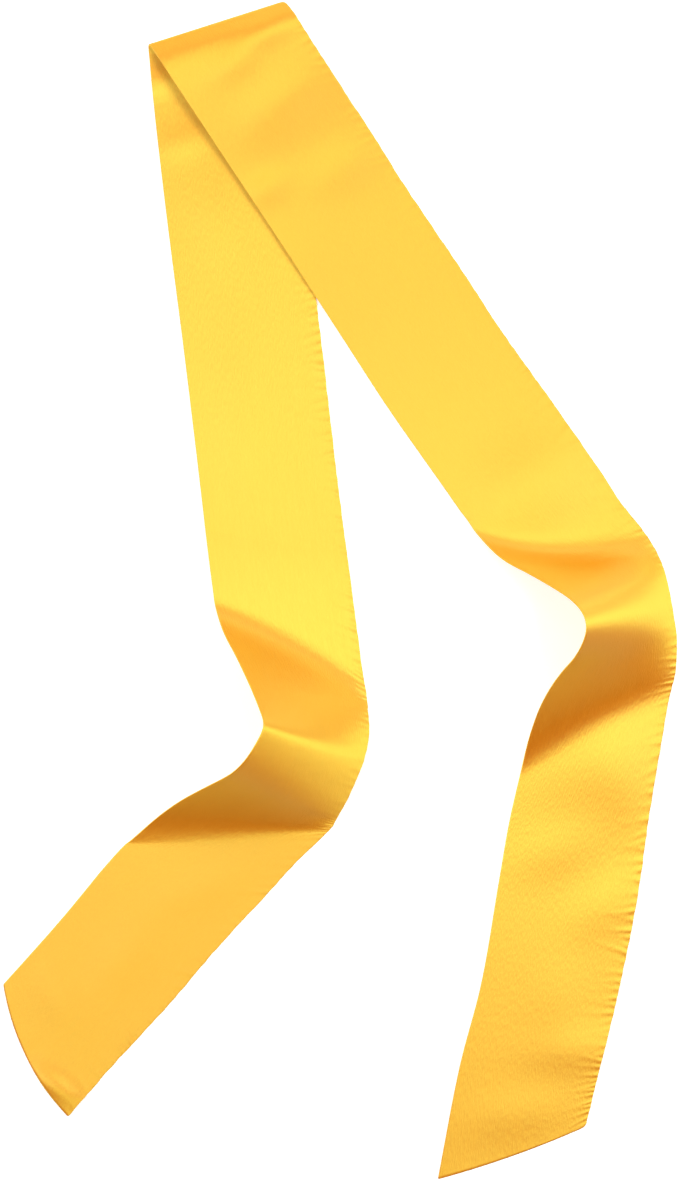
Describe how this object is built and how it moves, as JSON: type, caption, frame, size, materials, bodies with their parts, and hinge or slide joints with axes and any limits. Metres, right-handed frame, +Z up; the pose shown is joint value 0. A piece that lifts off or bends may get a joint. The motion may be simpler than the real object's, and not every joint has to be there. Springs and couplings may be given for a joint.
{
  "type": "skinny scarf",
  "caption": "Narrow satin scarf laid flat and folded over near its middle, both tails slanted at the ends and rippled at a bend.",
  "frame": {"origin": "on the surface that the scarf lies on, under the middle of its bounding box", "axes": "+Y up the length of the layout, towards the fold-over; +X to the side that the over tail runs to; +Z up off the surface"},
  "size_m": [0.3364, 0.5889, 0.0506],
  "materials": {
    "satin": "smooth two-ply satin, glossy along the strip, bright golden yellow"
  },
  "bodies": {
    "root": {"under_tail": "satin", "top_fold": "satin", "over_tail": "satin"}
  },
  "joints": []
}
